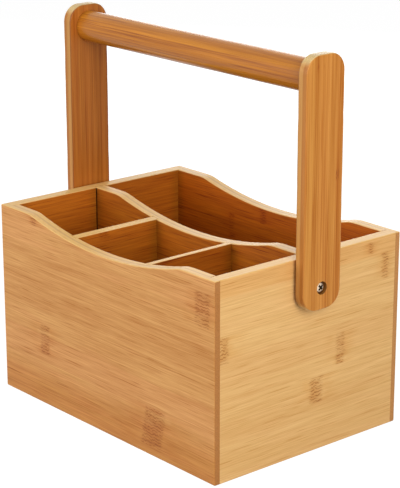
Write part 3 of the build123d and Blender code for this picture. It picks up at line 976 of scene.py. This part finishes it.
def nylon_material(name):
    """Natural nylon."""
    material, w, shader = start_material(name)
    spot = w.node("ShaderNodeTexCoord").outputs["Object"]
    cloud = w.noise(w.scaled(spot, (NYLON_RATE,) * 3))
    w.feed(shader.inputs["Base Color"], w.mix(cloud, *NYLON_TONES))
    w.feed(shader.inputs["Roughness"], w.add(0.45, w.times(cloud, 0.1)))
    return material


# ---- the caddy
FACE_DEPTH = 1 * MM  # of a board's darker inner tone, painted shade, behind its face
ARM_PLY = 4.6 * MM  # thickness of an arm's inner ply
LONG_CORNERS = [-END_INNER_X, END_INNER_X]  # of the cells, along the long and the end boards
END_CORNERS = [panel_high.y, divider_low.y, divider_high.y, back_low.y]


def make_long_boards():
    """Front and back panels and the long divider."""
    front = bamboo_material(
        "front_bamboo", "XZY", FRONT_TONES, seed=1.0, offset=8.5 * MM, streak=1.05, fineness=1.25,
        # darker towards the bottom of the front: painted shade
        dark_or_shaded_strip=(-BEYOND, 26 * MM, 14 * MM, LOW_FRONT_SHADE_TINT), corners=LONG_CORNERS,
        marks=[
            mark(-71.6, 52.5, 6, 12.5), mark(58.5, 22, 11.5, 15.5, lean=0.2), mark(112, 125.5, 8, 13),
            mark(-83, 143.5, 4, 3.5),
        ],
        end_grain=END_GRAIN, rim=True, core=("Y", (panel_low.y + panel_high.y) / 2),
        inside=("Y", panel_high.y - FACE_DEPTH, 1),
    )
    back = bamboo_material(
        "back_bamboo", "XZY", FRONT_TONES, seed=2.0, offset=4 * MM,
        marks=[mark(-48, 116.3), mark(-11.5, 132.7, half_height=8), mark(84, 52)],
        end_grain=BACK_END_GRAIN, rim=True, core=("Y", (back_low.y + back_high.y) / 2),
        inside=("Y", back_low.y + FACE_DEPTH, -1), inside_shade_tones=BACK_INSIDE_SHADE_TONES,
        corners=LONG_CORNERS,
    )
    divider = bamboo_material(
        "divider_bamboo", "XZY", FRONT_TONES, seed=3.0, rim=True, core=("Y", 0.0), inside=("Y", 0.0, 0),
        corners=LONG_CORNERS + [corner.x for pair in cross_boxes for corner in pair],
        seam=-END_INNER_X,
    )
    make_long_panel("front_panel", panel_low, panel_high, SCALLOP, 1, front, 1.0)
    make_long_panel("back_panel", back_low, back_high, BACK_SCALLOP, -1, back, 2.0)
    make_long_divider(divider, 3.0)


def dress_short_boards():
    """End panels, bottom panel and cross dividers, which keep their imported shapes."""
    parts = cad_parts
    end = {
        "contrast": 0.2, "cloud": 0.45, "streak": 1.05, "fibre": 0.8, "hue": 0.3, "fineness": 1.5,
        "rim": True, "inside_shade_tones": END_INSIDE_SHADE_TONES, "corners": END_CORNERS,
    }
    dress(parts["right_end_panel"], bamboo_material(
        "right_end_bamboo", "YZX", END_TONES, seed=4.0, offset=15.5 * MM,
        dark_or_shaded_strip=(135 * MM, BEYOND, 1 * MM, TOP_STRIP_TINT), inside=("X", END_INNER_X + FACE_DEPTH, -1),
        marks=[
            mark(30, 73, 4.5, 12.5), mark(6.8, 46.4, 6.5), mark(-83, 97, 6), mark(74.3, 126),
            mark(59.2, 142, 2.5, 5),
        ],
        **end
    ))
    dress(parts["left_end_panel"], bamboo_material(
        "left_end_bamboo", "YZX", END_TONES, seed=5.0, offset=12 * MM,
        inside=("X", -END_INNER_X - FACE_DEPTH, 1), marks=[mark(-30, 60), mark(50, 104)], **end
    ))
    dress(parts["bottom_panel"], bamboo_material(
        "bottom_bamboo", "XYZ", FRONT_TONES, seed=6.0, inside=("Z", bottom_high.z - 0.6 * MM, 1),
        inside_shade_tones=FLOOR_INSIDE_SHADE_TONES,
    ))
    for side, seed, marks in (("left", 7.0, [mark(-55, 136, 5, 4)]), ("right", 8.0, [])):
        dress(parts[side + "_cross_divider"], bamboo_material(
            side + "_cross_bamboo", "YZX", FRONT_TONES, seed=seed, marks=marks, rim=True,
            inside=("X", 0.0, 0), corners=(panel_high.y, divider_low.y),
        ))


def make_handle():
    """Arms and grip, laminated from narrow strips on edge."""
    laminate = {"strip": 5.4 * MM, "streak": 1.3, "fibre": 0.6, "pace": 0.4, "end_grain": HANDLE_END_GRAIN_HIGHLIGHT}
    arm = {
        "contrast": 0.35, "plies": arm_low.x + ARM_PLY, "bore": (PIVOT_HEIGHT, COUNTERBORE_RADIUS),
        "inside_shade_tones": ARM_INSIDE_SHADE_TONES, "roughness": 0.34,
    }
    # the arms' inner faces take darker tones as painted shade
    inner_face = arm_low.x + 0.5 * MM
    make_arm(1, bamboo_material(
        "right_arm_bamboo", "ZYX", ARM_TONES, seed=9.0, inside=("X", inner_face, -1),
        marks=[mark(284, -7.3, 1.2, 1.4), mark(284.5, -1.7, 1, 1.2), mark(207, 13, 4, 2.2)],
        **laminate, **arm
    ))
    make_arm(-1, bamboo_material(
        "left_arm_bamboo", "ZYX", ARM_TONES, seed=10.0, inside=("X", -inner_face, 1), **laminate, **arm
    ))
    make_grip(bamboo_material(
        "grip_bamboo", "XYZ", GRIP_TONES, seed=11.0, contrast=0.85, specular=0.3, roughness=0.22,
        **laminate
    ))


make_long_boards()
dress_short_boards()
make_handle()
place_pair(make_screw(), "pivot_screws", "pivot_screw", steel_material("zinc_steel"))
place_pair(make_washer(), "spacer_washers", "spacer_washer", nylon_material("natural_nylon"))


# ---- floor, light and camera
WORLD_LIGHT = 0.4
FLOOR_GREY = (0.3, 0.3, 0.3)
FLOOR_GLOW = 0.86  # with what the lamps add, plain white
FLOOR_REACH = 4.0
FLOOR_LEVEL = -0.1 * MM  # just under the box's lower edges
WHITE = (1, 1, 1)
SOFTBOXES = (  # name, place, aim, width, height and power in watts
    ("key_softbox", (1.1, -0.35, 0.55), (0, 0, 0.12), 0.8, 0.8, 10.7),
    ("fill_softbox", (-0.35, -1.2, 0.55), (0, 0, 0.1), 0.9, 0.8, 10.1),
    ("rear_softbox", (-0.9, 1.15, 0.5), (0, 0, 0.12), 0.9, 0.8, 7.0),
)

# camera of the photograph
IMAGE_HEIGHT_PX = 488
FOCAL_PX = 1785.0
SENSOR_HEIGHT = 36.0  # millimetres
AZIMUTH = math.radians(49.475)
ELEVATION = math.radians(17.227)
ROLL = math.radians(-0.062)
CAMERA_RIGHT = 3.396 * MM  # of the line through the origin along the view
CAMERA_UP = 121.942 * MM
CAMERA_DISTANCE = 1376.6 * MM


def seen_as_white(w):
    """1 for the rays that meet plain white: the camera's, and those off metal or through glass."""
    rays = w.node("ShaderNodeLightPath").outputs
    white = w.most(rays["Is Camera Ray"], rays["Is Glossy Ray"])
    return w.most(white, rays["Is Transmission Ray"])


def make_floor():
    """White floor that keeps the caddy's soft shadow."""
    mesh = bpy.data.meshes.new("floor")
    signs = ((-1, -1), (1, -1), (1, 1), (-1, 1))
    mesh.from_pydata([(x * FLOOR_REACH, y * FLOOR_REACH, FLOOR_LEVEL) for x, y in signs], [], [(0, 1, 2, 3)])
    material, w, shader = start_material("white_floor")
    w.feed(shader.inputs["Base Color"], FLOOR_GREY)
    shader.inputs["Roughness"].default_value = 0.9
    shader.inputs["Specular IOR Level"].default_value = 0.0
    w.feed(shader.inputs["Emission Color"], WHITE)
    w.feed(shader.inputs["Emission Strength"], w.times(seen_as_white(w), FLOOR_GLOW))
    mesh.materials.append(material)
    link("floor", mesh)


def make_world():
    """Even studio light, plain white where it is seen."""
    world = bpy.data.worlds.new("studio")
    bpy.context.scene.world = world
    world.use_nodes = True
    w = Wiring(world.node_tree)
    background = world.node_tree.nodes["Background"]
    w.feed(background.inputs["Color"], WHITE)
    w.feed(background.inputs["Strength"], w.add(WORLD_LIGHT, w.times(seen_as_white(w), 1 - WORLD_LIGHT)))


def make_softbox(name, spot, aim, width, height, power):
    """Rectangular lamp that points at a place on the caddy."""
    lamp = bpy.data.lights.new(name, "AREA")
    lamp.shape = "RECTANGLE"
    lamp.size, lamp.size_y = width, height
    lamp.energy = power
    holder = bpy.data.objects.new(name, lamp)
    bpy.context.scene.collection.objects.link(holder)
    holder.location = spot
    holder.rotation_euler = (Vector(aim) - Vector(spot)).to_track_quat("-Z", "Y").to_euler()


def make_camera():
    """Camera at the photograph's viewing angle."""
    level = math.cos(ELEVATION)
    back = Vector((math.sin(AZIMUTH) * level, -math.cos(AZIMUTH) * level, math.sin(ELEVATION)))
    level_right = Vector((0, 0, 1)).cross(back).normalized()
    level_up = back.cross(level_right)
    right = level_right * math.cos(ROLL) + level_up * math.sin(ROLL)
    up = level_up * math.cos(ROLL) - level_right * math.sin(ROLL)
    data = bpy.data.cameras.new("photo_camera")
    data.sensor_fit = "VERTICAL"
    data.sensor_height = SENSOR_HEIGHT
    data.lens = FOCAL_PX * SENSOR_HEIGHT / IMAGE_HEIGHT_PX
    camera = bpy.data.objects.new("photo_camera", data)
    bpy.context.scene.collection.objects.link(camera)
    turn = Matrix((right, up, back)).transposed().to_4x4()
    stand = right * CAMERA_RIGHT + up * CAMERA_UP + back * CAMERA_DISTANCE
    camera.matrix_world = Matrix.Translation(stand) @ turn
    bpy.context.scene.camera = camera


make_floor()
make_world()
for softbox in SOFTBOXES:
    make_softbox(*softbox)
make_camera()
bpy.context.scene.view_settings.view_transform = "Standard"
